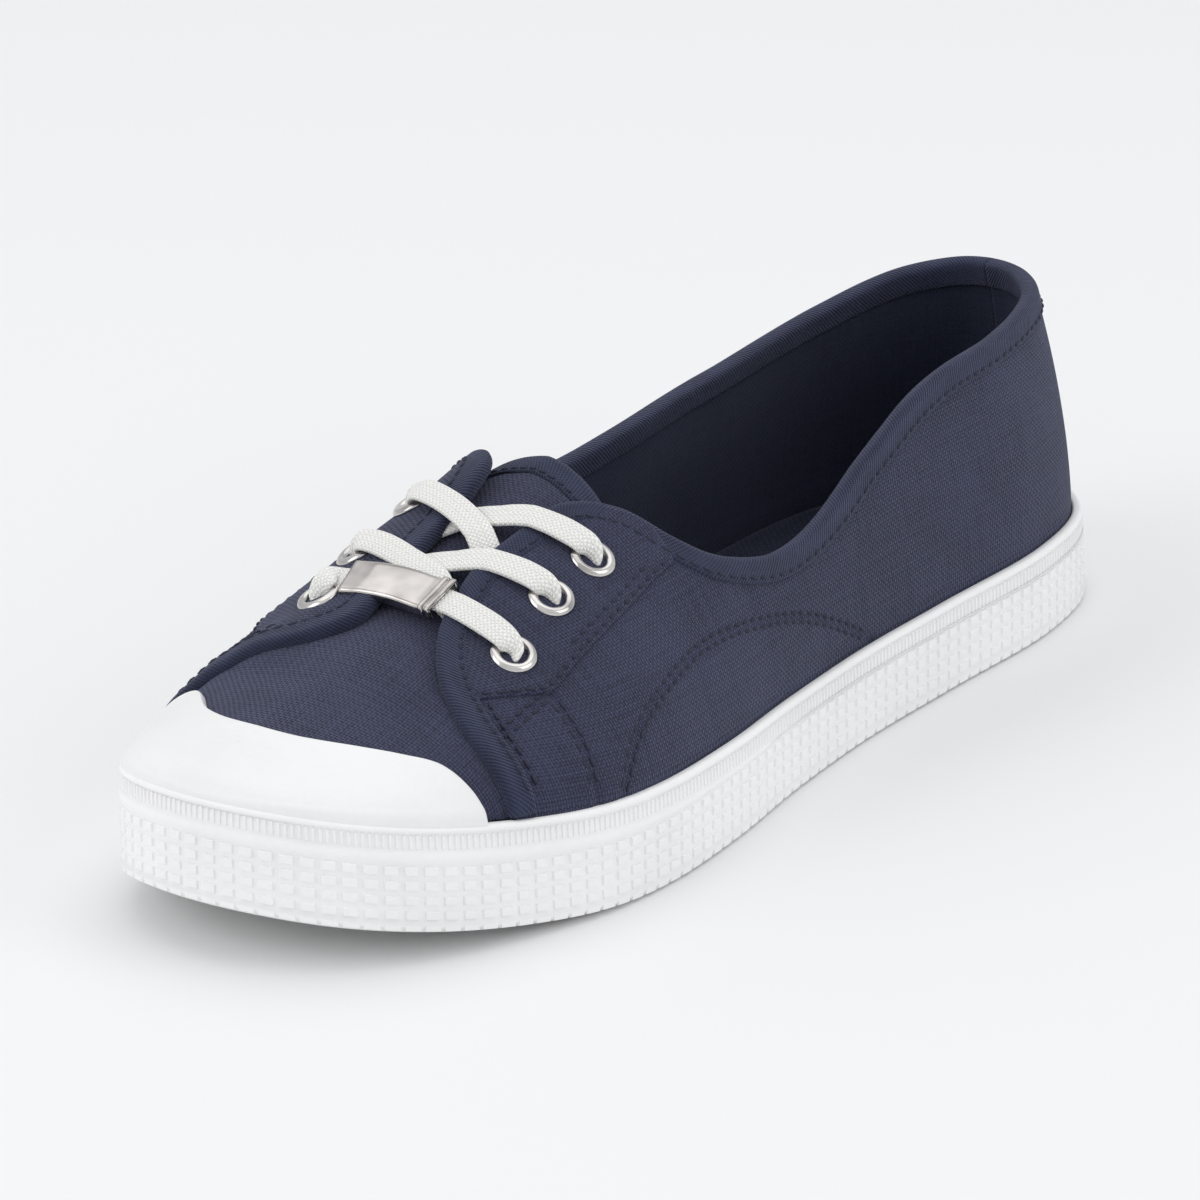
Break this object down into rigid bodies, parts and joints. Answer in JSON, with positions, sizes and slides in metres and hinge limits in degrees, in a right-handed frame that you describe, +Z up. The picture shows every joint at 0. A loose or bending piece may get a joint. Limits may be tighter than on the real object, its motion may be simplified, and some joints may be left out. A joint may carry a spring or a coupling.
{
  "type": "canvas sneaker",
  "caption": "Low canvas sneaker with a studded rubber cupsole, rubber toe cap, open laced throat and a wide collar to step into.",
  "frame": {"origin": "on the floor under the middle of the shoe's length and width", "axes": "+Z up, toe towards -Y, heel towards +Y, lateral (outer) side towards +X"},
  "size_m": [0.0887, 0.252, 0.0614],
  "materials": {
    "white_rubber": "matt moulded, fine studs and ribs on the sidewall",
    "navy_canvas": "plain weave cotton canvas, tonal stitching",
    "navy_lining": "fine cotton twill",
    "white_elastic": "flat woven elastic tape",
    "polished_steel": "polished"
  },
  "bodies": {
    "root": {"cupsole": "white_rubber", "toe_cap": "white_rubber", "insole": "navy_lining", "upper": "navy_canvas", "tongue": "navy_canvas", "lace_bar": "white_elastic", "lace_cross_middle": "white_elastic", "lace_cross_back": "white_elastic", "lace_plate": "polished_steel", "eyelet_front_lateral": "polished_steel", "eyelet_front_medial": "polished_steel", "eyelet_middle_lateral": "polished_steel", "eyelet_middle_medial": "polished_steel", "eyelet_back_lateral": "polished_steel", "eyelet_back_medial": "polished_steel"}
  },
  "joints": []
}
